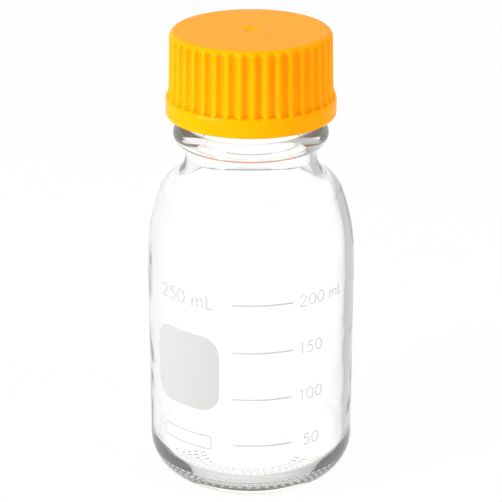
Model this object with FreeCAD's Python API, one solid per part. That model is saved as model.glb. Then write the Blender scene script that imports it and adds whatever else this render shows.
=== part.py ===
import FreeCAD, Part
import math
import os

# Laboratory reagent bottle with a screw cap: millimetres, +Z up, the foot on z = 0,
# the printed scale faces -Y. Angles on the body are counted from the front towards +X.

# Body of the bottle
body_r = 34.0
wall = 2.8
heel_r = 12.0
foot_inner_r = 18.5
push_up = 2.6
floor_z = 4.9
floor_rise = 1.3
inner_heel_r = 9.5

# Shoulder, outside: a long easy curve, a tight curve and a hollow curve up to the neck
shoulder_z = 76.0
easy_r = 66.0
easy_deg = 20.5
tight_r = 9.5
hollow_r = 8.5
neck_r = 21.3

# Mouth, inside: the even wall thickens from the neck up to a straight bore
bore_r = 16.5
bore_z = 119.0

# Transfer bead below the cap, screw neck and lip
bead_r = 25.1
bead_section_r = 3.0
bead_z = 119.0
thread_root_r = 20.6
thread_top_z = 142.0
ring_seat_r = 18.6
ring_seat_z = 143.0
lip_z = 147.0
lip_round = 1.0

# Pouring ring snapped over the lip
ring_outer_r = 20.2
ring_bottom_z = 143.2
ring_edge_r = 21.0
ring_edge_z = 148.4
ring_edge_land = 0.7
ring_mouth_r = 16.7
ring_funnel_r = 17.2
ring_cover = 0.8
ring_flare_drop = 2.0
ring_chamfer = 0.4

# Screw cap: plain skirt, chamfer, fluted grip with draft, flat top with a gate mark
cap_top_z = 152.8
cap_bottom_z = 125.5
skirt_r = 27.4
skirt_top_z = 130.6
skirt_edge = 0.5
grip_bottom_z = 133.6
grip_bottom_r = 26.35
grip_top_r = 25.9
rim_round = 1.0
cap_bore_r = 22.9
cap_mouth_r = 25.2
cap_mouth_z = 128.3
cap_ceiling_z = 150.9
gate_r = 2.4
gate_floor_r = 1.2
gate_depth = 0.6
rib_count = 40
rib_turn_deg = -3.0
flute_width = 2.9
flute_depth = 0.9
flute_bottom_z = 131.5
flute_top_z = 152.2
over = 1.0

# Sealing liner under the top of the cap
liner_r = 22.2
liner_bottom_z = 148.7
liner_top_z = 150.6
liner_edge = 0.4

# Fired enamel on the glass
enamel = 0.1
scale_start_deg = -10.0
scale_end_deg = 23.2
scale_first_z = 22.7
scale_step = 16.55
scale_lines = 4
line_width = 0.55
patch_centre_deg = -39.5
patch_half_deg = 22.0
patch_bottom_z = 33.8
patch_height = 26.4
patch_corner_r = 6.5

AXIS = FreeCAD.Vector(0, 0, 1)
ORIGIN = FreeCAD.Vector(0, 0, 0)


def point(r, z):
    """A point of a half section: radius r, height z."""
    return FreeCAD.Vector(r, 0, z)


def line(a, b):
    """A straight edge of a half section."""
    return Part.LineSegment(point(*a), point(*b)).toShape()


def on_circle(centre, radius, degrees):
    """The point of a circle at an angle counted from the outward radial direction."""
    angle = math.radians(degrees)
    return (centre[0] + radius * math.cos(angle), centre[1] + radius * math.sin(angle))


def arc(centre, radius, start, end):
    """A round edge of a half section between two angles in degrees."""
    stops = [on_circle(centre, radius, a) for a in (start, (start + end) / 2.0, end)]
    return Part.Arc(*[point(*stop) for stop in stops]).toShape()


def polyline(corners):
    """Straight edges through a list of corners."""
    return [line(a, b) for a, b in zip(corners, corners[1:])]


def revolved(edges):
    """Turn a closed half section about the bottle's axis."""
    face = Part.Face(Part.Wire(Part.__sortEdges__(edges)))
    return face.revolve(ORIGIN, AXIS, 360.0)


def shoulder(side_r, start_z, easy, easy_end, tight, hollow, throat_r):
    """Three tangent arcs from the side wall to the neck, with the height where the neck starts."""
    easy_centre = (side_r - easy, start_z)
    tight_centre = on_circle(easy_centre, easy - tight, easy_end)
    reach = throat_r + hollow - tight_centre[0]
    climb = math.sqrt((tight + hollow) ** 2 - reach ** 2)
    hollow_centre = (throat_r + hollow, tight_centre[1] + climb)
    turn = math.degrees(math.atan2(climb, reach))
    edges = [
        arc(easy_centre, easy, 0.0, easy_end),
        arc(tight_centre, tight, easy_end, turn),
        arc(hollow_centre, hollow, turn + 180.0, 180.0),
    ]
    return edges, hollow_centre[1]


def dome(rim_r, rim_z, rise):
    """A shallow round edge from the axis down to a rim."""
    radius = (rim_r ** 2 + rise ** 2) / (2.0 * rise)
    half_turn = math.degrees(math.asin(rim_r / radius))
    return arc((0.0, rim_z + rise - radius), radius, 90.0, 90.0 - half_turn)


def bead_height(radius):
    """Half the height of the bead's round section at a given radius."""
    return math.sqrt(bead_section_r ** 2 - (radius - bead_r + bead_section_r) ** 2)


def bottle_glass():
    """Blown glass bottle: one closed wall from the push-up of the base to the lip."""
    inner_r = body_r - wall
    foot_outer_r = body_r - heel_r
    inner_foot_r = inner_r - inner_heel_r
    outside, neck_z = shoulder(body_r, shoulder_z, easy_r, easy_deg, tight_r, hollow_r, neck_r)
    throat_r = neck_r - wall
    inside, throat_z = shoulder(inner_r, shoulder_z, easy_r - wall, easy_deg, tight_r - wall,
                                hollow_r + wall, throat_r)
    bead_centre = (bead_r - bead_section_r, bead_z)
    bead_low = (neck_r, bead_z - bead_height(neck_r))
    bead_high = (thread_root_r, bead_z + bead_height(thread_root_r))
    bead_start = math.degrees(math.atan2(bead_low[1] - bead_z, bead_low[0] - bead_centre[0]))
    bead_end = math.degrees(math.atan2(bead_high[1] - bead_z, bead_high[0] - bead_centre[0]))
    lip_side_z = lip_z - lip_round
    edges = [dome(foot_inner_r, 0.0, push_up)]
    edges.append(line((foot_inner_r, 0.0), (foot_outer_r, 0.0)))
    edges.append(arc((foot_outer_r, heel_r), heel_r, -90.0, 0.0))
    edges.append(line((body_r, heel_r), (body_r, shoulder_z)))
    edges += outside
    edges.append(line((neck_r, neck_z), bead_low))
    edges.append(arc(bead_centre, bead_section_r, bead_start, bead_end))
    edges += polyline([bead_high, (thread_root_r, thread_top_z), (ring_seat_r, ring_seat_z),
                       (ring_seat_r, lip_side_z)])
    edges.append(arc((ring_seat_r - lip_round, lip_side_z), lip_round, 0.0, 90.0))
    edges.append(line((ring_seat_r - lip_round, lip_z), (bore_r + lip_round, lip_z)))
    edges.append(arc((bore_r + lip_round, lip_side_z), lip_round, 90.0, 180.0))
    edges += polyline([(bore_r, lip_side_z), (bore_r, bore_z), (throat_r, throat_z)])
    edges += inside
    edges.append(line((inner_r, shoulder_z), (inner_r, floor_z + inner_heel_r)))
    edges.append(arc((inner_foot_r, floor_z + inner_heel_r), inner_heel_r, -90.0, 0.0))
    edges.append(dome(inner_foot_r, floor_z, floor_rise))
    edges.append(line((0.0, floor_z + floor_rise), (0.0, push_up)))
    return revolved(edges)


def pouring_ring():
    """Drip-free ring: a skirt gripping the lip, a cover and a flared pouring edge."""
    corners = [
        (ring_seat_r, ring_bottom_z),
        (ring_outer_r - ring_chamfer, ring_bottom_z),
        (ring_outer_r, ring_bottom_z + ring_chamfer),
        (ring_outer_r, ring_edge_z - ring_flare_drop),
        (ring_edge_r, ring_edge_z - ring_chamfer),
        (ring_edge_r - ring_chamfer, ring_edge_z),
        (ring_edge_r - ring_edge_land, ring_edge_z),
        (ring_funnel_r, lip_z + ring_cover),
        (ring_mouth_r, lip_z),
        (ring_seat_r, lip_z),
        (ring_seat_r, ring_bottom_z),
    ]
    return revolved(polyline(corners))


def cap_envelope():
    """The cap before its ribs: skirt, chamfer, drafted side, round rim and hollow inside."""
    rim_z = cap_top_z - rim_round
    edges = polyline([(cap_mouth_r, cap_bottom_z), (skirt_r - skirt_edge, cap_bottom_z)])
    edges.append(arc((skirt_r - skirt_edge, cap_bottom_z + skirt_edge), skirt_edge, -90.0, 0.0))
    edges += polyline([(skirt_r, cap_bottom_z + skirt_edge), (skirt_r, skirt_top_z),
                       (grip_bottom_r, grip_bottom_z), (grip_top_r, rim_z)])
    edges.append(arc((grip_top_r - rim_round, rim_z), rim_round, 0.0, 90.0))
    edges += polyline([(grip_top_r - rim_round, cap_top_z), (gate_r, cap_top_z),
                       (gate_floor_r, cap_top_z - gate_depth), (0.0, cap_top_z - gate_depth),
                       (0.0, cap_ceiling_z), (cap_bore_r, cap_ceiling_z), (cap_bore_r, cap_mouth_z),
                       (cap_mouth_r, cap_bottom_z)])
    return revolved(edges)


def flute_cutter():
    """Round-nosed cutter for one flute: it leans in with the draft of the grip and ends in a ball."""
    radius = ((flute_width / 2.0) ** 2 + flute_depth ** 2) / (2.0 * flute_depth)
    draft = (grip_bottom_r - grip_top_r) / (cap_top_z - rim_round - grip_bottom_z)
    nose_z = flute_top_z - flute_width / 2.0

    def axis_at(z):
        crest = grip_bottom_r - draft * (z - grip_bottom_z)
        return point(crest - flute_depth + radius, z)

    foot, nose = axis_at(flute_bottom_z), axis_at(nose_z)
    shank = Part.makeCylinder(radius, (nose - foot).Length, foot, nose - foot)
    return shank.fuse(Part.makeSphere(radius, nose)).removeSplitter()


def screw_cap():
    """Moulded cap: narrow ribs stand between the flutes of the grip, above the plain skirt."""
    cutter = flute_cutter()
    flutes = []
    for index in range(rib_count):
        flute = cutter.copy()
        flute.rotate(ORIGIN, AXIS, rib_turn_deg + index * 360.0 / rib_count)
        flutes.append(flute)
    return cap_envelope().cut(Part.makeCompound(flutes))


def cap_liner():
    """Sealing disc held under the top of the cap, with eased edges."""
    return revolved(polyline([
        (0.0, liner_bottom_z), (liner_r - liner_edge, liner_bottom_z), (liner_r, liner_bottom_z + liner_edge),
        (liner_r, liner_top_z - liner_edge), (liner_r - liner_edge, liner_top_z), (0.0, liner_top_z),
        (0.0, liner_bottom_z)]))


def enamel_band(bottom_z, height, start_deg, end_deg):
    """A film on the body wall between two angles, as deep as the fired enamel."""
    corner = FreeCAD.Vector(0, 0, bottom_z)
    sweep = end_deg - start_deg
    outer = Part.makeCylinder(body_r + enamel, height, corner, AXIS, sweep)
    inner = Part.makeCylinder(body_r, height, corner, AXIS, sweep)
    band = outer.cut(inner)
    band.rotate(ORIGIN, AXIS, start_deg - 90.0)
    return band


def graduation_lines():
    """The level lines of the printed scale, evenly spaced."""
    return Part.makeCompound([
        enamel_band(scale_first_z + index * scale_step - line_width / 2.0, line_width,
                    scale_start_deg, scale_end_deg)
        for index in range(scale_lines)])


def writing_patch():
    """Matt patch for notes: a square film with round corners, bent round the body."""
    half_width = body_r * math.sin(math.radians(patch_half_deg))
    block = Part.makeBox(body_r + over, 2.0 * half_width, patch_height,
                         FreeCAD.Vector(0, -half_width, patch_bottom_z))
    corners = [edge for edge in block.Edges if abs(edge.tangentAt(edge.FirstParameter).x) > 0.5]
    block = block.makeFillet(patch_corner_r, corners)
    block.rotate(ORIGIN, AXIS, patch_centre_deg - 90.0)
    band = enamel_band(patch_bottom_z, patch_height, patch_centre_deg - patch_half_deg - over,
                       patch_centre_deg + patch_half_deg + over)
    return band.common(block)


NODES = (bottle_glass, pouring_ring, screw_cap, cap_liner, graduation_lines, writing_patch)

os.makedirs("parts", exist_ok=True)
for node in NODES:
    shape = node()
    shape.exportStep(os.path.join("parts", node.__name__ + ".step"))
    print(node.__name__, "volume", round(shape.Volume / 1000.0, 3), "ml", "valid", shape.isValid(),
          "solids", len(shape.Solids), "faces", len(shape.Faces))
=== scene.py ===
import logging
import math
from dataclasses import dataclass
from enum import Enum
from typing import Callable, Dict, List, Optional, Sequence, Tuple

import bpy
import numpy as np
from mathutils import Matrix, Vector


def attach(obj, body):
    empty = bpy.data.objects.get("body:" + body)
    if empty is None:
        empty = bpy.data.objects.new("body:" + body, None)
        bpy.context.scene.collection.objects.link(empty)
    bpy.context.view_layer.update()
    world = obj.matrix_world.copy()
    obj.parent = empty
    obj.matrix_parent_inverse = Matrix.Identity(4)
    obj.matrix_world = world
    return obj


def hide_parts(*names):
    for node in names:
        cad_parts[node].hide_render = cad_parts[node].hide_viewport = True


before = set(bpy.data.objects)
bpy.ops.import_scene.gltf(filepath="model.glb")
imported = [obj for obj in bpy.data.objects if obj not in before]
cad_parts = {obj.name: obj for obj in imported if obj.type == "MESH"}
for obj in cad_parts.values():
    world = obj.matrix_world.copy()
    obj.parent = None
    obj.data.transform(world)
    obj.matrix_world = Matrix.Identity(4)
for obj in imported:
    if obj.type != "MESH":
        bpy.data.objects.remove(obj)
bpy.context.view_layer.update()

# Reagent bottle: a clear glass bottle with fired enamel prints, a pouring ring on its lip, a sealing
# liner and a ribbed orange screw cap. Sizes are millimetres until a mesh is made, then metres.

Array = np.ndarray
Faces = List[Array]
Mesh = Tuple[Array, Faces]
Pair = Tuple[float, float]
Tree = bpy.types.NodeTree
Node = bpy.types.Node
Socket = bpy.types.NodeSocket

MM = 0.001
TINY = 1e-6
IMAGE_PX = 502
LOG = logging.getLogger("reagent_bottle")


# Colours, nodes and meshes

def linear(code: str, alpha: float = 1.0) -> Tuple[float, float, float, float]:
    """Turn an sRGB hex colour into linear light.

    Args:
        code: six hex digits after a hash sign.
        alpha: opacity kept as it is.

    Returns:
        Red, green, blue and alpha in linear light.
    """
    srgb = np.array([int(code[i:i + 2], 16) for i in (1, 3, 5)]) / 255.0
    light = np.where(srgb <= 0.04045, srgb / 12.92, ((srgb + 0.055) / 1.055) ** 2.4)
    return (*light.tolist(), alpha)


def add_node(tree: Tree, kind: str, settings: Optional[Dict] = None,
             inputs: Optional[Dict] = None) -> Node:
    """Add a node, set its properties and fill its sockets.

    Args:
        tree: node tree that gets the node.
        kind: type name of the node.
        settings: property name to value.
        inputs: socket name or number to a value, or to an output socket that is linked to it.

    Returns:
        The new node.
    """
    node = tree.nodes.new(kind)
    for name, value in (settings or {}).items():
        setattr(node, name, value)
    for name, value in (inputs or {}).items():
        socket = node.inputs[name]
        if isinstance(value, Socket):
            tree.links.new(value, socket)
        else:
            socket.default_value = value
    return node


def make_mesh(name: str, shape: Mesh, smooth: bool = True) -> bpy.types.Object:
    """Put a shape given in millimetres into a mesh object at the origin.

    Args:
        name: name of the piece.
        shape: vertices and groups of faces with equal corner counts.
        smooth: shade the faces smooth.

    Returns:
        The linked object.
    """
    verts, groups = shape
    mesh = bpy.data.meshes.new(name)
    corners = np.concatenate([group.ravel() for group in groups])
    sizes = np.concatenate([np.full(len(group), group.shape[1]) for group in groups])
    mesh.vertices.add(len(verts))
    mesh.vertices.foreach_set("co", (verts * MM).ravel())
    mesh.loops.add(len(corners))
    mesh.loops.foreach_set("vertex_index", corners.astype(np.int32))
    mesh.polygons.add(len(sizes))
    mesh.polygons.foreach_set("loop_start", np.concatenate([[0], np.cumsum(sizes)[:-1]]).astype(np.int32))
    mesh.polygons.foreach_set("use_smooth", np.full(len(sizes), smooth))
    mesh.update(calc_edges=True)
    mesh.validate()
    piece = bpy.data.objects.new(name, mesh)
    bpy.context.scene.collection.objects.link(piece)
    return piece


def join_shapes(shapes: Sequence[Mesh]) -> Mesh:
    """Stack several shapes into one, with their face numbers moved on.

    Args:
        shapes: vertices and faces of each.

    Returns:
        Vertices and faces of all.
    """
    starts = np.cumsum([0] + [len(verts) for verts, _ in shapes])
    faces = [group + start for (_, groups), start in zip(shapes, starts) for group in groups]
    return np.concatenate([verts for verts, _ in shapes]), faces


# Profiles and surfaces

def arc(centre: Pair, radius: float, start: float, end: float, step: float) -> Array:
    """Points of a circle: centre plus radius times cosine and sine of an evenly spaced angle.

    Args:
        centre: middle of the circle.
        radius: its radius.
        start: first angle in degrees.
        end: last angle in degrees.
        step: about how far apart the points stand.

    Returns:
        Rows of two coordinates.
    """
    count = max(3, int(abs(math.radians(end - start)) * radius / step) + 2)
    angle = np.radians(np.linspace(start, end, count))
    return np.stack([centre[0] + radius * np.cos(angle), centre[1] + radius * np.sin(angle)], axis=1)


def line(a: Pair, b: Pair, step: float) -> Array:
    """Points of a straight line, about step millimetres apart."""
    count = max(2, int(math.dist(a, b) / step) + 2)
    return np.linspace(a, b, count)


def chain(*runs: Array) -> Array:
    """Join runs of points end to end and drop the doubled points where they meet.

    Args:
        runs: rows of points, each run starting where the last one ended.

    Returns:
        The rows of all runs.
    """
    points = np.concatenate(runs)
    gaps = np.linalg.norm(np.diff(points, axis=0), axis=1)
    return points[np.concatenate([[True], gaps > TINY])]


def smoothstep(value: Array, low: float, high: float) -> Array:
    """Ease from 0 at low to 1 at high: 3t squared minus 2t cubed."""
    t = np.clip((value - low) / (high - low), 0.0, 1.0)
    return t * t * (3.0 - 2.0 * t)


def ring_faces(rows: int, columns: int, wrap_rows: bool) -> Array:
    """Quads of a grid of rings whose columns close, and whose rows close on request.

    Args:
        rows: number of rings.
        columns: vertices of each ring.
        wrap_rows: the last ring joins the first.

    Returns:
        Four vertex numbers for each face.
    """
    last = rows if wrap_rows else rows - 1
    row, column = np.meshgrid(np.arange(last), np.arange(columns), indexing="ij")
    right, above = (column + 1) % columns, (row + 1) % rows
    quads = [row * columns + column, row * columns + right, above * columns + right, above * columns + column]
    return np.stack(quads, axis=-1).reshape(-1, 4)


def seam_faces(low: int, low_columns: int, high: int, high_columns: int) -> Array:
    """Faces between two rings whose column counts differ by a whole factor.

    Args:
        low: number of the first vertex of the lower ring.
        low_columns: columns of the lower ring.
        high: number of the first vertex of the upper ring.
        high_columns: columns of the upper ring.

    Returns:
        One face for each column of the coarser ring, with all its corners in order.
    """
    count = min(low_columns, high_columns)
    column = np.arange(count)[:, None]
    below, above = low_columns // count, high_columns // count
    lower = low + (column * below + np.arange(below + 1)) % low_columns
    upper = high + (column * above + np.arange(above, -1, -1)) % high_columns
    return np.concatenate([lower, upper], axis=1)


def lathe(profile: Array, columns: Sequence[int], starts: Sequence[int] = (),
          push: Optional[Callable[[Array, Array], Array]] = None) -> Mesh:
    """Turn a half section about Z: each point (r, z) becomes a ring, moved by a push.

    A section that starts and ends on the axis gets a pole at each end, any other one is a closed loop.

    Args:
        profile: rows of radius and height, with the solid on the left.
        columns: columns of each band of rows.
        starts: row where the second band and the later ones start.
        push: offset in radius and height for every row and angle.

    Returns:
        Vertices in millimetres and faces that point out of the solid.
    """
    poles = profile[0, 0] < TINY
    rings = profile[1:-1] if poles else profile
    bands, verts, faces, first = np.split(rings, starts), [], [], 0
    for index, (band, count) in enumerate(zip(bands, columns)):
        angles = np.linspace(0.0, 2.0 * math.pi, count, endpoint=False)
        place = band[:, None, :] + (push(band, angles) if push else np.zeros((1, count, 1)))
        spin = np.stack([np.cos(angles), np.sin(angles)], axis=1)
        verts.append(np.concatenate([place[..., :1] * spin, place[..., 1:]], axis=2).reshape(-1, 3))
        faces.append(first + ring_faces(len(band), count, not poles))
        if index:
            faces.append(seam_faces(first - columns[index - 1], columns[index - 1], first, count))
        first += len(verts[-1])
    if poles:
        column, right = np.arange(columns[0]), (np.arange(columns[0]) + 1) % columns[0]
        faces.append(np.stack([np.full_like(column, first), right, column], axis=1))
        column, right = np.arange(columns[-1]), (np.arange(columns[-1]) + 1) % columns[-1]
        top = first - columns[-1]
        faces.append(np.stack([top + column, top + right, np.full_like(column, first + 1)], axis=1))
        verts.append(np.array([[0.0, 0.0, profile[0, 1]], [0.0, 0.0, profile[-1, 1]]]))
    return np.concatenate(verts), faces


@dataclass(frozen=True)
class Thread:
    """Right-hand round thread: a ridge whose crest climbs one pitch for each turn."""

    start: float
    turns: float
    pitch: float
    depth: float
    half_width: float
    run_out: float = 0.16

    def height(self, z: Array, angles: Array) -> Array:
        """Ridge height: a cosine hump across the nearest crest, eased in and out at both ends.

        Args:
            z: heights of the rows.
            angles: angles of the columns in radians.

        Returns:
            Height of the ridge over its root for each row and column.
        """
        turn = angles[None, :] / (2.0 * math.pi)
        phase = (z[:, None] - self.start) / self.pitch - turn
        along = turn + np.round(phase)
        across = np.abs(phase - np.round(phase)) * self.pitch
        hump = 0.5 + 0.5 * np.cos(np.pi * np.clip(across / self.half_width, 0.0, 1.0))
        ease_in = smoothstep(along, 0.0, self.run_out)
        ease_out = 1.0 - smoothstep(along, self.turns - self.run_out, self.turns)
        return self.depth * np.sqrt(hump) * ease_in * ease_out


# Finishes

class Slot(Enum):
    """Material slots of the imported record."""

    GLASS = "clear_glass"
    RING = "ring_plastic"
    CAP = "cap_plastic"
    LINER = "liner_rubber"
    ENAMEL = "white_enamel"


@dataclass(frozen=True)
class Finish:
    """A finish starts from one shader whose even values sit on its own sockets."""

    name: str
    colour: str
    roughness: float
    ior: float

    def shader(self) -> Tuple[bpy.types.Material, Tree, Node, Socket]:
        """Start a material with the even values set.

        Returns:
            The material, its tree, its shader node and the Object coordinates.
        """
        material = bpy.data.materials.new(self.name)
        material.use_nodes = True
        tree = material.node_tree
        shader = tree.nodes["Principled BSDF"]
        shader.inputs["Base Color"].default_value = linear(self.colour)
        shader.inputs["Roughness"].default_value = self.roughness
        shader.inputs["IOR"].default_value = self.ior
        place = add_node(tree, "ShaderNodeTexCoord").outputs["Object"]
        return material, tree, shader, place


@dataclass(frozen=True)
class BlownGlass(Finish):
    """Borosilicate glass, blown in a mould: clear, with slow waves, a faint tint where it is thick and a weak
    painted glow.
    """

    tint: str = "#DDE8A0"
    tint_density: float = 4.0
    painted_wall_glow: float = 0.025
    wave_mm: float = 14.0
    wave_depth_mm: float = 0.2

    def build(self) -> bpy.types.Material:
        """Make the material: full transmission, a bump of slow waves and an even absorption inside.

        A weak emission, a painted glow, stands for the light that would reach the eye after many reflections
        in the wall.

        Returns:
            The finished material.
        """
        material, tree, shader, place = self.shader()
        shader.inputs["Transmission Weight"].default_value = 1.0
        shader.inputs["Emission Color"].default_value = linear(self.colour)
        # Painted glow: a weak emission in the glass's own colour.
        shader.inputs["Emission Strength"].default_value = self.painted_wall_glow
        waves = add_node(tree, "ShaderNodeTexNoise", None,
                         {"Vector": place, "Scale": 1.0 / (self.wave_mm * MM), "Detail": 1.0}).outputs["Fac"]
        bump = add_node(tree, "ShaderNodeBump", None,
                        {"Height": waves, "Distance": self.wave_depth_mm * MM, "Strength": 1.0})
        tree.links.new(bump.outputs["Normal"], shader.inputs["Normal"])
        depth = add_node(tree, "ShaderNodeVolumeAbsorption", None,
                         {"Color": linear(self.tint), "Density": self.tint_density})
        tree.links.new(depth.outputs["Volume"], tree.nodes["Material Output"].inputs["Volume"])
        return material


@dataclass(frozen=True)
class MouldedPlastic(Finish):
    """Injection moulded plastic: even colour with faint clouds, a satin skin and a fine grain."""

    deep_colour: str = "#000000"
    cloud_mm: float = 9.0
    cloud_rough: Pair = (-0.05, 0.08)
    grain_mm: float = 0.5
    grain_depth_mm: float = 0.015
    grain_strength: float = 0.6
    shine: float = 0.5
    glow: float = 0.0
    glow_mm: float = 1.5
    glow_reach: Tuple[float, float, float] = (1.0, 0.5, 0.2)

    def tone(self, tree: Tree, shader: Node, place: Socket, clouds: Socket) -> Socket:
        """Colour of the skin: the clouds mix two close colours.

        Args:
            tree: node tree of the material.
            shader: its shader node.
            place: Object coordinates.
            clouds: noise from 0 to 1.

        Returns:
            The mixed colour.
        """
        return add_node(tree, "ShaderNodeMix", {"data_type": "RGBA"},
                        {"Factor": clouds, 6: linear(self.colour), 7: linear(self.deep_colour)}).outputs[2]

    def build(self) -> bpy.types.Material:
        """Make the material: clouds move the colour and the roughness, and the grain is a bump.

        Returns:
            The finished material.
        """
        material, tree, shader, place = self.shader()
        clouds = add_node(tree, "ShaderNodeTexNoise", None, {
            "Vector": place, "Scale": 1.0 / (self.cloud_mm * MM), "Detail": 3.0}).outputs["Fac"]
        tree.links.new(self.tone(tree, shader, place, clouds), shader.inputs["Base Color"])
        low, high = self.cloud_rough
        rough = add_node(tree, "ShaderNodeMapRange", None,
                         {"Value": clouds, "To Min": self.roughness + low, "To Max": self.roughness + high})
        tree.links.new(rough.outputs["Result"], shader.inputs["Roughness"])
        grain = add_node(tree, "ShaderNodeTexNoise", None,
                         {"Vector": place, "Scale": 1.0 / (self.grain_mm * MM), "Detail": 2.0}).outputs["Fac"]
        bump = add_node(tree, "ShaderNodeBump", None, {
            "Height": grain, "Distance": self.grain_depth_mm * MM, "Strength": self.grain_strength})
        tree.links.new(bump.outputs["Normal"], shader.inputs["Normal"])
        shader.inputs["Specular IOR Level"].default_value = self.shine
        shader.inputs["Subsurface Weight"].default_value = self.glow
        shader.inputs["Subsurface Radius"].default_value = self.glow_reach
        shader.inputs["Subsurface Scale"].default_value = self.glow_mm * MM
        return material


@dataclass(frozen=True)
class FlutedPlastic(MouldedPlastic):
    """Moulded plastic of a fluted cap: a painted shade deepens its flutes, and a painted glow on its inner
    faces stands for light through its wall.
    """

    # Painted shade: the flutes get a deeper colour the further in they lie.
    painted_shade_colour: str = "#000000"
    painted_shade_r: Pair = (0.0, 0.0)
    # Painted glow: a low emission on the inner faces stands for light through the wall.
    painted_inner_glow: float = 0.0
    painted_inner_glow_r: Pair = (0.0, 0.0)
    lid_z: Pair = (0.0, 0.0)

    def tone(self, tree: Tree, shader: Node, place: Socket, clouds: Socket) -> Socket:
        """Paint shade into the flutes as a deeper colour, and paint a glow on the inner faces as a low
        emission for light through the wall.

        Both grow from zero at the second radius to full at the first, and fade out below the lid.

        Args:
            tree: node tree of the material.
            shader: its shader node, which gets the painted glow as emission.
            place: Object coordinates.
            clouds: noise from 0 to 1.

        Returns:
            The colour with the painted shade in the flutes.
        """
        flat = add_node(tree, "ShaderNodeVectorMath", {"operation": "MULTIPLY"},
                        {0: place, 1: (1.0, 1.0, 0.0)})
        away = add_node(tree, "ShaderNodeVectorMath", {"operation": "LENGTH"}, {0: flat.outputs[0]})
        height = add_node(tree, "ShaderNodeSeparateXYZ", None, {"Vector": place})
        low, high = self.lid_z
        below = add_node(tree, "ShaderNodeMapRange", None,
                         {"Value": height.outputs["Z"], "From Min": high * MM, "From Max": low * MM})
        painted_inner_glow = add_node(tree, "ShaderNodeMath", {"operation": "MULTIPLY"},
                        {0: below.outputs[0], 1: self.painted_inner_glow})
        # depth carries the painted flute shade, and light carries the painted inner glow.
        depth, light = (
            add_node(tree, "ShaderNodeMapRange", None, {"Value": away.outputs["Value"], "From Min": end * MM,
                                                        "From Max": start * MM, "To Max": top.outputs[0]})
            for (start, end), top in ((self.painted_shade_r, below), (self.painted_inner_glow_r, painted_inner_glow)))
        plain = super().tone(tree, shader, place, clouds)
        colour = add_node(tree, "ShaderNodeMix", {"data_type": "RGBA"},
                          {"Factor": depth.outputs[0], 6: plain, 7: linear(self.painted_shade_colour)}).outputs[2]
        tree.links.new(colour, shader.inputs["Emission Color"])
        tree.links.new(light.outputs[0], shader.inputs["Emission Strength"])
        return colour


@dataclass(frozen=True)
class FiredEnamel(Finish):
    """Ceramic enamel, screen printed and fired: matt, with a speckle drawn coarser than its grit, to show."""

    pale_colour: str = "#FFFFFF"
    grit_mm: float = 0.25
    grit_depth_mm: float = 0.02
    grit_strength: float = 0.5

    def build(self) -> bpy.types.Material:
        """Make the material: grit speckles two close greys and roughens the surface a little.

        Returns:
            The finished material.
        """
        material, tree, shader, place = self.shader()
        grit = add_node(tree, "ShaderNodeTexNoise", None,
                        {"Vector": place, "Scale": 1.0 / (self.grit_mm * MM), "Detail": 2.0}).outputs["Fac"]
        colour = add_node(tree, "ShaderNodeMix", {"data_type": "RGBA"},
                          {"Factor": grit, 6: linear(self.colour), 7: linear(self.pale_colour)})
        tree.links.new(colour.outputs[2], shader.inputs["Base Color"])
        bump = add_node(tree, "ShaderNodeBump", None,
                        {"Height": grit, "Distance": self.grit_depth_mm * MM, "Strength": self.grit_strength})
        tree.links.new(bump.outputs["Normal"], shader.inputs["Normal"])
        return material


def dress(piece: bpy.types.Object, material: bpy.types.Material, body: str, slot: Slot, *nodes: str) -> None:
    """Give a piece its material, its body and the nodes that it stands for.

    Args:
        piece: finished piece at the origin.
        material: its finish.
        body: body that it moves with.
        slot: slot of the record that names its material; not used.
        nodes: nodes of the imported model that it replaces.
    """
    piece.data.materials.append(material)
    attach(piece, body)
    if nodes:
        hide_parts(*nodes)
    LOG.info("%s: %d faces on %s", piece.name, len(piece.data.polygons), body)


# Pieces

NECK_THREAD = Thread(start=128.6, turns=3.2, pitch=4.0, depth=1.8, half_width=1.0)
CAP_THREAD = Thread(start=130.6, turns=2.4, pitch=4.0, depth=1.75, half_width=0.85)


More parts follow.
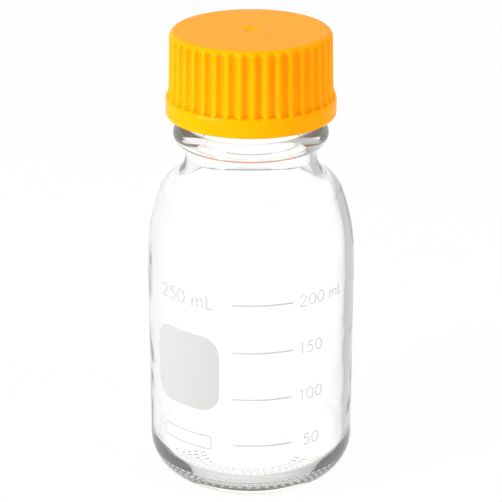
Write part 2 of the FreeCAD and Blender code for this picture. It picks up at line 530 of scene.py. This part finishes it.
@dataclass
class GlassBottle:
    """The blown bottle: one closed wall from the push-up of its base to the lip and back inside."""

    body_r: float = 34.0
    wall: float = 2.8
    heel_r: float = 12.0
    foot_inner_r: float = 18.5
    push_up: float = 1.2
    floor_z: float = 4.9
    floor_rise: float = 1.3
    under_z: float = 3.9
    inner_heel_r: float = 9.5
    shoulder_z: float = 76.0
    outer_curves: Tuple[float, float, float, float] = (66.0, 20.5, 9.5, 8.5)
    neck_r: float = 21.3
    bore_r: float = 16.5
    bore_z: float = 119.0
    bead_r: float = 25.1
    bead_section_r: float = 3.0
    bead_z: float = 119.0
    thread_root_r: float = 20.6
    thread_top_z: float = 142.0
    ring_seat_r: float = 18.6
    ring_seat_z: float = 143.0
    lip_z: float = 147.0
    lip_round: float = 1.0
    dot_rows_r: Pair = (16.2, 26.6)
    dot_arc_deg: Pair = (172.0, 352.0)
    dot_pitch: float = 2.6
    dot_r: float = 0.95
    dot_depth: float = 0.8
    dot_fade: float = 0.3
    columns: int = 144
    dot_columns: int = 432
    finish: BlownGlass = BlownGlass("blown_borosilicate_glass", "#FFFFFF", 0.0, 1.473)

    def shoulder(self, side_r: float, start_z: float, curves: Sequence[float],
                 throat_r: float) -> Tuple[Array, float]:
        """Three tangent arcs from the side wall up to the neck.

        Args:
            side_r: radius of the side wall.
            start_z: height where the first arc leaves it.
            curves: radius and end angle of the easy arc, radius of the tight arc and of the hollow arc.
            throat_r: radius of the neck.

        Returns:
            The points from wall to neck, and the height where the neck starts.
        """
        easy, easy_end, tight, hollow = curves
        turn = math.radians(easy_end)
        easy_centre = (side_r - easy, start_z)
        inward = easy - tight
        tight_centre = (easy_centre[0] + inward * math.cos(turn), start_z + inward * math.sin(turn))
        reach = throat_r + hollow - tight_centre[0]
        climb = math.sqrt((tight + hollow) ** 2 - reach ** 2)
        hollow_centre = (throat_r + hollow, tight_centre[1] + climb)
        end = math.degrees(math.atan2(climb, reach))
        points = chain(arc(easy_centre, easy, 0.0, easy_end, 1.0),
                       arc(tight_centre, tight, easy_end, end, 0.5),
                       arc(hollow_centre, hollow, end + 180.0, 180.0, 0.5))
        return points, hollow_centre[1]

    def dome(self, rim_r: float, rim_z: float, rise: float, step: float) -> Array:
        """Shallow round cap from the axis down to a rim: an arc through rim and top, centred on the axis.

        Args:
            rim_r: radius of the rim.
            rim_z: height of the rim.
            rise: height of the top over the rim.
            step: about how far apart the points stand.

        Returns:
            Rows of radius and height.
        """
        radius = (rim_r ** 2 + rise ** 2) / (2.0 * rise)
        half = math.degrees(math.asin(rim_r / radius))
        return arc((0.0, rim_z + rise - radius), radius, 90.0, 90.0 - half, step)

    def profile(self) -> Array:
        """The half section of the wall, from under the base up the outside and down the inside.

        The last number of each run is the spacing of its points.

        Returns:
            Rows of radius and height.
        """
        inner_r, foot_r = self.body_r - self.wall, self.body_r - self.heel_r
        inner_foot = inner_r - self.inner_heel_r
        outside, neck_z = self.shoulder(self.body_r, self.shoulder_z, self.outer_curves, self.neck_r)
        easy, easy_end, tight, hollow = self.outer_curves
        throat_r = self.neck_r - self.wall
        inner_curves = (easy - self.wall, easy_end, tight - self.wall, hollow + self.wall)
        inside, throat_z = self.shoulder(inner_r, self.shoulder_z, inner_curves, throat_r)
        bead_centre = (self.bead_r - self.bead_section_r, self.bead_z)
        low = -math.degrees(math.acos((self.neck_r - bead_centre[0]) / self.bead_section_r))
        high = math.degrees(math.acos((self.thread_root_r - bead_centre[0]) / self.bead_section_r))
        lip_side = self.lip_z - self.lip_round
        bead = arc(bead_centre, self.bead_section_r, low, high, 0.35)
        seat, rounding = self.ring_seat_r - self.lip_round, self.lip_round
        return chain(
            self.dome(self.foot_inner_r, 0.0, self.push_up, 0.28),
            line((self.foot_inner_r, 0.0), (foot_r, 0.0), 0.28),
            arc((foot_r, self.heel_r), self.heel_r, -90.0, -60.0, 0.28),
            arc((foot_r, self.heel_r), self.heel_r, -60.0, 0.0, 0.6),
            line((self.body_r, self.heel_r), (self.body_r, self.shoulder_z), 2.5),
            outside,
            line((self.neck_r, neck_z), tuple(bead[0]), 0.6),
            bead,
            line(tuple(bead[-1]), (self.thread_root_r, self.thread_top_z), 0.25),
            line((self.thread_root_r, self.thread_top_z), (self.ring_seat_r, self.ring_seat_z), 0.5),
            line((self.ring_seat_r, self.ring_seat_z), (self.ring_seat_r, lip_side), 0.8),
            arc((seat, lip_side), rounding, 0.0, 90.0, 0.25),
            arc((self.bore_r + rounding, lip_side), rounding, 90.0, 180.0, 0.25),
            line((self.bore_r, lip_side), (self.bore_r, self.bore_z), 1.5),
            line((self.bore_r, self.bore_z), (throat_r, throat_z), 1.5),
            inside[::-1],
            line((inner_r, self.shoulder_z), (inner_r, self.floor_z + self.inner_heel_r), 2.5),
            arc((inner_foot, self.floor_z + self.inner_heel_r), self.inner_heel_r, 0.0, -90.0, 0.6),
            self.dome(inner_foot, self.floor_z, self.floor_rise, 1.0)[::-1])

    def dots(self, radius: Array, angles: Array) -> Array:
        """Depth of the dots moulded into the foot: rows of round pits a pitch apart, along its front.

        A pit is a cosine hump over the distance from the nearest place on the nearest row.

        Args:
            radius: radius of each row, as a column.
            angles: angle of each column.

        Returns:
            Rise of the foot for each row and column.
        """
        first, last = self.dot_rows_r
        row = np.clip(np.round((radius - first) / self.dot_pitch), 0, round((last - first) / self.dot_pitch))
        row_r = first + row * self.dot_pitch
        pitch = 2.0 * math.pi / np.round(2.0 * math.pi * row_r / self.dot_pitch)
        turn = angles / pitch + 0.5 * (row % 2)
        away = np.hypot(radius - row_r, (turn - np.round(turn)) * pitch * row_r)
        hump = 0.5 + 0.5 * np.cos(np.pi * np.minimum(1.0, away / self.dot_r))
        start, end = np.radians(self.dot_arc_deg)
        half = (end - start) / 2.0
        aside = np.abs((angles - (start + end) / 2.0 + np.pi) % (2.0 * np.pi) - np.pi)
        return self.dot_depth * hump * (1.0 - smoothstep(aside, half - self.dot_fade, half))

    def push(self, rings: Array, angles: Array) -> Array:
        """Raise the thread on the plain stretch of the neck and sink the dots into the foot.

        Args:
            rings: radius and height of each row.
            angles: angle of each column.

        Returns:
            Offset in radius and height for each row and column.
        """
        on_neck = np.abs(rings[:, 0] - self.thread_root_r) < TINY
        ridge = on_neck[:, None] * NECK_THREAD.height(rings[:, 1], angles)
        underneath = rings[:, 1:] < self.under_z
        return np.stack([ridge, underneath * self.dots(rings[:, :1], angles)], axis=2)

    def build(self) -> None:
        """Make the bottle, with a finer band of columns under its foot, and dress it."""
        profile = self.profile()
        first, last = self.dot_rows_r
        radius, z = profile.T
        dotted = (radius > first - self.dot_r) & (radius < last + self.dot_r)
        under = np.flatnonzero(dotted & (z < self.under_z))
        starts = (int(under[0]) - 1, int(under[-1]))
        shape = lathe(profile, (self.columns, self.dot_columns, self.columns), starts, self.push)
        dress(make_mesh("glass_bottle", shape), self.finish.build(), "bottle", Slot.GLASS, "bottle_glass")


@dataclass
class PouringRing:
    """Drip-free ring snapped over the lip, with a flared pouring edge."""

    seat_r: float = 18.6
    bottom_z: float = 143.2
    outer_r: float = 20.2
    edge_r: float = 21.0
    edge_z: float = 148.4
    lip_z: float = 147.0
    mouth_r: float = 16.7
    funnel_r: float = 17.2
    cover: float = 0.8
    ease: float = 0.35
    columns: int = 144
    gap: float = 0.02
    flare: float = 2.0
    finish: MouldedPlastic = MouldedPlastic(
        "natural_polypropylene", "#EDEDE6", 0.4, 1.49, deep_colour="#E3E3DB", glow=0.3)

    def build(self) -> None:
        """Turn the ring's section, with round edges and a hair's gap to the glass, and dress it."""
        low, flare_z, top = self.bottom_z + self.ease, self.edge_z - self.flare, self.edge_z - self.ease
        cover_z, inner_z, inner_r = self.lip_z + self.cover, self.lip_z + self.gap, self.seat_r + self.gap
        profile = chain(
            arc((self.outer_r - self.ease, low), self.ease, -90.0, 0.0, 0.1),
            line((self.outer_r, low), (self.outer_r, flare_z), 0.5),
            line((self.outer_r, flare_z), (self.edge_r, top), 0.3),
            arc((self.edge_r - self.ease, top), self.ease, 0.0, 90.0, 0.1),
            line((self.edge_r - 2.0 * self.ease, self.edge_z), (self.funnel_r, cover_z), 0.5),
            line((self.funnel_r, cover_z), (self.mouth_r, inner_z), 0.2),
            line((self.mouth_r, inner_z), (inner_r, inner_z), 0.5),
            line((inner_r, inner_z), (inner_r, self.bottom_z), 0.8))
        piece = make_mesh("pouring_ring_dressed", lathe(profile, (self.columns,)))
        dress(piece, self.finish.build(), "bottle", Slot.RING, "pouring_ring")


@dataclass
class ScrewCap:
    """Moulded cap: plain skirt, chamfer, ribbed grip with draft, round rim and a threaded bore."""

    top_z: float = 152.8
    bottom_z: float = 125.5
    skirt_r: float = 27.4
    skirt_top_z: float = 130.6
    skirt_edge: float = 0.5
    grip_bottom_z: float = 133.6
    grip_bottom_r: float = 26.35
    grip_top_r: float = 25.9
    rim_round: float = 2.0
    bore_r: float = 22.9
    mouth_r: float = 25.2
    mouth_z: float = 128.3
    ceiling_z: float = 150.9
    gate_r: float = 2.4
    gate_floor_r: float = 1.2
    gate_depth: float = 0.6
    gate_ease: Pair = (0.4, 0.05)
    rib_count: int = 40
    rib_turn_deg: float = -3.0
    flute_width: float = 2.9
    flute_depth: float = 0.9
    flute_bottom_z: float = 131.5
    flute_top_z: float = 153.3
    flute_ease: float = 0.12
    flute_start: float = 0.3
    flute_inner_r: float = 23.9
    rib_columns: int = 14
    # The flute colour is painted shade, and the inner emission is a painted glow.
    finish: FlutedPlastic = FlutedPlastic(
        "orange_polypropylene", "#FFAA00", 0.25, 1.49, deep_colour="#FFA200", shine=0.04,
        painted_shade_colour="#FF9400", painted_shade_r=(25.2, 26.0), painted_inner_glow=0.4, painted_inner_glow_r=(24.2, 24.6), lid_z=(150.9, 151.6))

    def profile(self) -> Array:
        """Half section from the ceiling down the bore, round the mouth and up the outside.

        The last number of each run is the spacing of its points.

        Returns:
            Rows of radius and height.
        """
        rim_z = self.top_z - self.rim_round
        nose_z = min(rim_z, self.flute_top_z - self.flute_width / 2.0)
        edge = self.skirt_edge
        floor_z, lip_r = self.top_z - self.gate_depth, self.gate_r + self.gate_ease[0]
        lip_z = self.top_z - self.gate_ease[1]
        return chain(
            line((0.0, self.ceiling_z), (self.bore_r, self.ceiling_z), 4.0),
            line((self.bore_r, self.ceiling_z), (self.bore_r, self.mouth_z), 0.34),
            line((self.bore_r, self.mouth_z), (self.mouth_r, self.bottom_z), 0.8),
            line((self.mouth_r, self.bottom_z), (self.skirt_r - edge, self.bottom_z), 0.8),
            arc((self.skirt_r - edge, self.bottom_z + edge), edge, -90.0, 0.0, 0.15),
            line((self.skirt_r, self.bottom_z + edge), (self.skirt_r, self.skirt_top_z), 1.0),
            line((self.skirt_r, self.skirt_top_z), (self.grip_bottom_r, self.grip_bottom_z), 0.16),
            line((self.grip_bottom_r, self.grip_bottom_z), (self.crest(nose_z), nose_z), 1.5),
            line((self.crest(nose_z), nose_z), (self.grip_top_r, rim_z), 0.2),
            arc((self.grip_top_r - self.rim_round, rim_z), self.rim_round, 0.0, 90.0, 0.12),
            line((self.grip_top_r - self.rim_round, self.top_z), (lip_r, self.top_z), 2.5),
            line((lip_r, self.top_z), (self.gate_r, lip_z), 0.2),
            line((self.gate_r, lip_z), (self.gate_floor_r, floor_z), 0.2),
            line((self.gate_floor_r, floor_z), (0.0, floor_z), 0.6))

    def crest(self, z: Array) -> Array:
        """Radius of the ribs at a height: the grip leans in by its draft."""
        draft = (self.grip_bottom_r - self.grip_top_r) / (self.top_z - self.rim_round - self.grip_bottom_z)
        return self.grip_bottom_r - draft * (z - self.grip_bottom_z)

    def push(self, rings: Array, angles: Array) -> Array:
        """Sink the flutes into the grip and raise the thread in the bore.

        A flute is the trace of a round-nosed cutter that leaves through the rim: its depth is a circle over
        the distance from its middle line, and a soft maximum rounds its edges.

        Args:
            rings: radius and height of each row.
            angles: angle of each column.

        Returns:
            Offset in radius and height for each row and column.
        """
        radius, z = rings[:, :1], rings[:, 1:]
        cutter = ((self.flute_width / 2.0) ** 2 + self.flute_depth ** 2) / (2.0 * self.flute_depth)
        pitch = 2.0 * math.pi / self.rib_count
        turn = (angles - math.radians(self.rib_turn_deg)) / pitch
        across = (turn - np.round(turn)) * pitch * self.crest(z)
        past_nose = np.maximum(0.0, z - self.flute_top_z + self.flute_width / 2.0)
        away = np.minimum(cutter, np.hypot(across, past_nose))
        dip = radius - self.crest(z) + np.sqrt(cutter ** 2 - away ** 2) - cutter + self.flute_depth
        dip = 0.5 * (dip + np.sqrt(dip ** 2 + self.flute_ease ** 2)) * (radius > self.flute_inner_r)
        dip *= smoothstep(z, self.flute_bottom_z, self.flute_bottom_z + self.flute_start)
        in_bore = np.abs(rings[:, 0] - self.bore_r) < TINY
        moved = -dip - in_bore[:, None] * CAP_THREAD.height(rings[:, 1], angles)
        return np.stack([moved, np.zeros_like(moved)], axis=2)

    def build(self) -> None:
        """Make the cap and dress it."""
        shape = lathe(self.profile(), (self.rib_count * self.rib_columns,), (), self.push)
        piece = make_mesh("ribbed_screw_cap", shape)
        dress(piece, self.finish.build(), "cap", Slot.CAP, "screw_cap")


@dataclass
class CapLiner:
    """Sealing disc under the top of the cap, with a shallow groove pressed by the ring."""

    radius: float = 22.2
    bottom_z: float = 148.7
    top_z: float = 150.6
    ease: float = 0.4
    groove_r: float = 20.2
    groove_half: float = 0.9
    groove_depth: float = 0.2
    groove_points: int = 13
    columns: int = 144
    finish: MouldedPlastic = MouldedPlastic(
        "silicone_rubber", "#E2DED6", 0.55, 1.41, deep_colour="#D5D0C6", glow=0.2)

    def build(self) -> None:
        """Turn the disc and dress it."""
        low, high, edge = self.bottom_z, self.top_z, self.radius - self.ease
        start, end = self.groove_r - self.groove_half, self.groove_r + self.groove_half
        groove = np.linspace(start, end, self.groove_points)
        dent = 0.5 + 0.5 * np.cos(np.pi * (groove - self.groove_r) / self.groove_half)
        profile = chain(
            line((0.0, low), (start, low), 2.5), np.stack([groove, low + self.groove_depth * dent], axis=1),
            line((end, low), (edge, low), 0.4), arc((edge, low + self.ease), self.ease, -90.0, 0.0, 0.1),
            arc((edge, high - self.ease), self.ease, 0.0, 90.0, 0.1), line((edge, high), (0.0, high), 2.5))
        piece = make_mesh("sealing_liner", lathe(profile, (self.columns,)))
        dress(piece, self.finish.build(), "liner", Slot.LINER, "cap_liner")


@dataclass
class EnamelPrint:
    """Everything printed on the glass: scale lines, numbers, capacity, frame and writing patch."""

    body_r: float = 34.0
    film: float = 0.08
    lift: float = 0.015
    scale_start_deg: float = -10.0
    scale_end_deg: float = 23.2
    scale_first_z: float = 22.7
    scale_step: float = 16.55
    line_width: float = 0.5
    number_deg: float = 27.0
    number_height: float = 3.9
    number_width: float = 0.42
    capacity_deg: float = -57.0
    capacity_z: float = 70.0
    capacity_height: float = 4.5
    capacity_width: float = 0.62
    frame_deg: Pair = (-56.0, -22.5)
    frame_z: Pair = (20.2, 24.8)
    frame_corner: float = 1.2
    patch_deg: Pair = (-61.5, -17.5)
    patch_z: Pair = (33.8, 60.2)
    patch_corner: float = 6.5
    patch_rings: int = 25
    edge_points: int = 24
    scale_points: int = 36
    oval_points: int = 40
    bar_points: int = 10
    finish: FiredEnamel = FiredEnamel("fired_white_enamel", "#B5B4B3", 0.6, 1.5, pale_colour="#BFBEBD")
    thin_finish: FiredEnamel = FiredEnamel("thin_white_enamel", "#B6B5B4", 0.6, 1.5, pale_colour="#C2C1C0")
    faint_finish: FiredEnamel = FiredEnamel("faint_white_enamel", "#CFCECD", 0.6, 1.5, pale_colour="#D9D8D7")

    def wrap(self, flat: Array, height: Array) -> Array:
        """Bend flat places onto the body: across becomes an angle from the front, up stays up.

        Args:
            flat: millimetres across and up, in the last axis.
            height: millimetres off the glass.

        Returns:
            Points in space.
        """
        angle, radius = flat[..., 0] / self.body_r, self.body_r + height
        return np.stack([radius * np.sin(angle), -radius * np.cos(angle), flat[..., 1]], axis=-1)

    def stroke(self, path: Array, width: float, closed: bool = False) -> Mesh:
        """A flat bar carried along a path: four corners either side of the path, low and high.

        Args:
            path: points across and up on the unrolled body.
            width: width of the bar.
            closed: the path's ends meet.

        Returns:
            Vertices and faces.
        """
        if closed:
            along = np.roll(path, -1, axis=0) - np.roll(path, 1, axis=0)
        else:
            along = np.gradient(path, axis=0)
        along /= np.linalg.norm(along, axis=1, keepdims=True)
        side = np.stack([along[:, 1], -along[:, 0]], axis=1) * width / 2.0
        flat = np.stack([path + side, path + side, path - side, path - side], axis=1)
        height = np.broadcast_to([self.lift, self.film, self.film, self.lift], flat.shape[:2])
        verts = self.wrap(flat, height).reshape(-1, 3)
        quads = ring_faces(len(path), 4, closed)
        ends = np.array([[0, 1, 2, 3], [3, 2, 1, 0]]) + np.array([[0], [4 * (len(path) - 1)]])
        return verts, [quads] if closed else [quads, ends]

    def glyph(self, sign: str) -> Tuple[List[Array], float]:
        """Strokes of one sign in a box one unit high.

        Args:
            sign: a digit, m or L.

        Returns:
            Paths of its strokes, and how far the next sign stands.
        """
        def oval(centre: Pair, size: Pair, start: float, end: float) -> Array:
            """Part of an ellipse between two angles in degrees."""
            turn = np.radians(np.linspace(start, end, self.oval_points))
            return np.stack([centre[0] + size[0] * np.cos(turn), centre[1] + size[1] * np.sin(turn)], axis=1)

        def bar(*corners: Pair) -> Array:
            """Straight runs from corner to corner."""
            runs = [np.linspace(a, b, self.bar_points) for a, b in zip(corners, corners[1:])]
            return np.concatenate([run[:-1] for run in runs] + [np.array(corners[-1:])])

        arch = (0.21, 0.22)
        shapes = {
            "0": ([oval((0.37, 0.5), (0.33, 0.48), 90.0, 450.0)], 0.90),
            "1": ([bar((0.12, 0.80), (0.32, 0.98), (0.32, 0.0))], 0.72),
            "2": ([oval((0.32, 0.68), (0.28, 0.30), 175.0, -38.0),
                   bar((0.54, 0.50), (0.04, 0.02), (0.66, 0.02))], 0.86),
            "5": ([bar((0.58, 0.98), (0.20, 0.98), (0.11, 0.56)),
                   oval((0.31, 0.33), (0.30, 0.32), 128.0, -140.0)], 0.84),
            "m": ([bar((0.06, 0.66), (0.06, 0.0)), oval((0.27, 0.42), arch, 180.0, 0.0),
                   bar((0.48, 0.42), (0.48, 0.0)), oval((0.69, 0.42), arch, 180.0, 0.0),
                   bar((0.90, 0.42), (0.90, 0.0))], 1.16),
            "L": ([bar((0.06, 0.98), (0.06, 0.02), (0.52, 0.02))], 0.62),
            " ": ([], 0.46),
        }
        return shapes[sign]

    def lettering(self, words: str, start_deg: float, base_z: float, height: float, width: float) -> Mesh:
        """Set signs side by side on the body.

        Args:
            words: the signs in order.
            start_deg: angle from the front where they start.
            base_z: height of their foot.
            height: height of a digit.
            width: width of the strokes.

        Returns:
            Vertices and faces of all strokes.
        """
        across = math.radians(start_deg) * self.body_r
        strokes = []
        for sign in words:
            paths, step = self.glyph(sign)
            strokes += [self.stroke(path * height + (across, base_z), width) for path in paths]
            across += step * height
        return join_shapes(strokes)

    def rounded_box(self, deg: Pair, z: Pair, corner: float) -> Array:
        """Outline of a box with round corners: a quarter arc at each corner, joined by straight runs.

        Args:
            deg: angles of its sides from the front.
            z: heights of its foot and its top.
            corner: radius of the corners.

        Returns:
            Rows across and up on the unrolled body.
        """
        left, right = (math.radians(d) * self.body_r for d in deg)
        low, high = z
        centres = [(right - corner, low + corner), (right - corner, high - corner),
                   (left + corner, high - corner), (left + corner, low + corner)]
        arcs = [arc(centre, corner, start, start + 90.0, corner / 8.0)
                for centre, start in zip(centres, (-90.0, 0.0, 90.0, 180.0))]
        runs = []
        for index, bend in enumerate(arcs):
            after = arcs[(index + 1) % len(arcs)]
            runs += [bend, np.linspace(bend[-1], after[0], self.edge_points)[1:-1]]
        return np.concatenate(runs)

    def patch(self) -> Mesh:
        """The writing patch: its outline shrunk to its middle in steps, high face, edge and low face.

        Returns:
            Vertices and faces.
        """
        outline = self.rounded_box(self.patch_deg, self.patch_z, self.patch_corner)
        middle = outline.mean(axis=0)
        shrink = np.linspace(1.0, 0.0, self.patch_rings + 1)[:-1]
        rings = middle + (outline - middle) * shrink[:, None, None]
        high = self.wrap(rings, np.full(rings.shape[:2], self.film))
        low = self.wrap(rings[::-1], np.full(rings.shape[:2], self.lift))
        verts = np.concatenate([low, high]).reshape(-1, 3)
        count = len(outline)
        column = np.arange(count)
        right = (column + 1) % count
        top = (2 * len(rings) - 1) * count
        centre = self.wrap(np.stack([middle, middle]), np.array([self.lift, self.film]))
        fans = [np.stack([np.full(count, len(verts)), right, column], axis=1),
                np.stack([top + column, top + right, np.full(count, len(verts) + 1)], axis=1)]
        return np.concatenate([verts, centre]), [ring_faces(2 * len(rings), count, False)] + fans

    def build(self) -> None:
        """Make every print and dress it."""
        full, thin, faint = (finish.build() for finish in (self.finish, self.thin_finish, self.faint_finish))
        turn = np.linspace(self.scale_start_deg, self.scale_end_deg, self.scale_points)
        across = np.radians(turn) * self.body_r
        levels = self.scale_first_z + self.scale_step * np.arange(4)
        lines = [self.stroke(np.stack([across, np.full_like(across, z)], axis=1), self.line_width)
                 for z in levels]
        numbers = [self.lettering(words, self.number_deg, z - self.number_height / 2.0, self.number_height,
                                  self.number_width)
                   for words, z in zip((" 50", "100", "150", "200 mL"), levels)]
        capacity = self.lettering("250 mL", self.capacity_deg, self.capacity_z, self.capacity_height,
                                  self.capacity_width)
        frame_path = self.rounded_box(self.frame_deg, self.frame_z, self.frame_corner)
        pieces = {"scale_lines": (join_shapes(lines), thin, ("graduation_lines",)),
                  "scale_numbers": (join_shapes(numbers), faint, ()), "capacity_mark": (capacity, thin, ()),
                  "plain_frame": (self.stroke(frame_path, self.line_width, True), thin, ()),
                  "note_patch": (self.patch(), full, ("writing_patch",))}
        for name, (shape, material, nodes) in pieces.items():
            dress(make_mesh(name, shape, smooth=False), material, "bottle", Slot.ENAMEL, *nodes)


@dataclass(frozen=True)
class Softbox:
    """A soft square lamp, placed in metres and aimed at the bottle, which shiny things may mirror."""

    name: str
    place: Tuple[float, float, float]
    size: float
    watts: float
    mirrored: bool
    aim_z: float = 0.08

    def build(self) -> None:
        """Hang the lamp."""
        data = bpy.data.lights.new(self.name, "AREA")
        data.shape = "SQUARE"
        data.size = self.size
        data.energy = self.watts
        lamp = bpy.data.objects.new(self.name, data)
        lamp.location = self.place
        aim = Vector((0.0, 0.0, self.aim_z)) - Vector(self.place)
        lamp.rotation_euler = aim.to_track_quat("-Z", "Y").to_euler()
        lamp.visible_glossy = self.mirrored
        bpy.context.scene.collection.objects.link(lamp)


@dataclass
class Studio:
    """Pale floor, soft lamps and a camera at the photograph's angle."""

    distance: float = 600.0
    height: float = 322.8
    pitch_deg: float = 22.258
    focal_px: float = 1963.9
    sensor: float = 36.0
    near: float = 10.0
    floor_half: float = 6000.0
    floor_drop: float = 0.05
    floor_colour: str = "#F4F4F4"
    sky_colour: str = "#FFFFFF"
    shade: float = 0.06
    fill: float = 0.4
    white: float = 1.0
    mirror: float = 0.85
    floor_dim_x: Pair = (-60.0, 80.0)
    floor_dim: Pair = (0.9, 0.45)
    sky_dim_x: Pair = (0.1, 0.8)
    sky_dim: Pair = (1.0, 0.3)
    lamps: Tuple[Softbox, ...] = (Softbox("key_softbox", (-1.0, -0.6, 0.5), 0.4, 15.5, True),
                                  Softbox("fill_softbox", (0.9, -0.6, 0.5), 0.6, 6.0, False),
                                  Softbox("top_softbox", (0.0, 0.2, 1.0), 0.6, 2.2, False))

    def camera(self) -> None:
        """Set the camera in front of the bottle, looking down at it."""
        data = bpy.data.cameras.new("studio_camera")
        data.sensor_width = self.sensor
        data.sensor_fit = "HORIZONTAL"
        data.lens = self.focal_px / IMAGE_PX * self.sensor
        data.clip_start = self.near * MM
        camera = bpy.data.objects.new("studio_camera", data)
        camera.location = (0.0, -self.distance * MM, self.height * MM)
        camera.rotation_euler = (math.radians(90.0 - self.pitch_deg), 0.0, 0.0)
        bpy.context.scene.collection.objects.link(camera)
        bpy.context.scene.camera = camera

    def floor(self) -> None:
        """White floor that the camera and the glass see as white, with a faint shadow left in it."""
        half = self.floor_half
        corners = np.array([[-half, -half], [half, -half], [half, half], [-half, half]])
        verts = np.column_stack([corners, np.full(4, -self.floor_drop)])
        floor = make_mesh("studio_floor", (verts, [np.array([[0, 1, 2, 3]])]), smooth=False)
        material = bpy.data.materials.new("white_paper_floor")
        material.use_nodes = True
        tree = material.node_tree
        tree.nodes.clear()
        weight = add_node(tree, "ShaderNodeMath", {"operation": "MULTIPLY"},
                          {0: self.seen(tree), 1: 1.0 - self.shade})
        paper = add_node(tree, "ShaderNodeBsdfDiffuse", None, {"Color": linear(self.floor_colour)})
        place = add_node(tree, "ShaderNodeNewGeometry").outputs["Position"]
        span = tuple(x * MM for x in self.floor_dim_x)
        white = add_node(tree, "ShaderNodeEmission", None,
                         {"Strength": self.level(tree, place, span, self.floor_dim)})
        mix = add_node(tree, "ShaderNodeMixShader", None,
                       {0: weight.outputs[0], 1: paper.outputs[0], 2: white.outputs[0]})
        add_node(tree, "ShaderNodeOutputMaterial", None, {"Surface": mix.outputs[0]})
        floor.data.materials.append(material)

    def seen(self, tree: Tree) -> Socket:
        """One for what is looked at straight, in a mirror or through glass, and zero for light on things.

        Args:
            tree: node tree of the floor or the sky.

        Returns:
            The factor.
        """
        path = add_node(tree, "ShaderNodeLightPath")
        straight = add_node(tree, "ShaderNodeMath", {"operation": "ADD"},
                            {0: path.outputs["Is Camera Ray"], 1: path.outputs["Is Glossy Ray"]})
        seen = add_node(tree, "ShaderNodeMath", {"operation": "ADD", "use_clamp": True},
                        {0: straight.outputs[0], 1: path.outputs["Is Transmission Ray"]})
        return seen.outputs[0]

    def level(self, tree: Tree, place: Socket, span: Pair, dim: Pair) -> Socket:
        """How bright the stage looks: white, dimmer in a mirror, and dimmer by side inside the glass.

        Args:
            tree: node tree of the floor or the sky.
            place: position or direction whose X is the side.
            span: X where the dimming starts and ends.
            dim: brightness at both, for light that was reflected inside the glass.

        Returns:
            Strength of the stage's light.
        """
        side = add_node(tree, "ShaderNodeSeparateXYZ", None, {"Vector": place}).outputs["X"]
        inside = add_node(tree, "ShaderNodeMapRange", None, {
            "Value": side, "From Min": span[0], "From Max": span[1], "To Min": dim[0], "To Max": dim[1]})
        path = add_node(tree, "ShaderNodeLightPath")
        through, back = (
            add_node(tree, "ShaderNodeMath", {"operation": "GREATER_THAN"}, {0: path.outputs[depth], 1: 0.5})
            for depth in ("Transmission Depth", "Glossy Depth"))
        reflected = add_node(tree, "ShaderNodeMix", None,
                             {"Factor": through.outputs[0], "A": self.mirror, "B": inside.outputs["Result"]})
        level = add_node(tree, "ShaderNodeMix", None,
                         {"Factor": back.outputs[0], "A": self.white, "B": reflected.outputs[0]})
        return level.outputs[0]

    def world(self) -> None:
        """White sky, lower for light that falls on things, and dimmer to +X inside the glass."""
        world = bpy.data.worlds.new("studio_world")
        bpy.context.scene.world = world
        world.use_nodes = True
        tree = world.node_tree
        direction = add_node(tree, "ShaderNodeTexCoord").outputs["Generated"]
        white = self.level(tree, direction, self.sky_dim_x, self.sky_dim)
        level = add_node(tree, "ShaderNodeMix", None, {"Factor": self.seen(tree), "A": self.fill, "B": white})
        tree.links.new(level.outputs[0], tree.nodes["Background"].inputs["Strength"])
        tree.nodes["Background"].inputs["Color"].default_value = linear(self.sky_colour)

    def build(self) -> None:
        """Set up floor, lamps, sky and camera."""
        self.floor()
        for lamp in self.lamps:
            lamp.build()
        self.world()
        self.camera()
        bpy.context.scene.view_settings.view_transform = "Standard"


def main() -> None:
    """Build every piece, then the studio."""
    logging.basicConfig(level=logging.INFO, format="%(name)s %(message)s")
    for part in (GlassBottle(), PouringRing(), ScrewCap(), CapLiner(), EnamelPrint()):
        part.build()
    Studio().build()


if __name__ == "__main__":
    main()
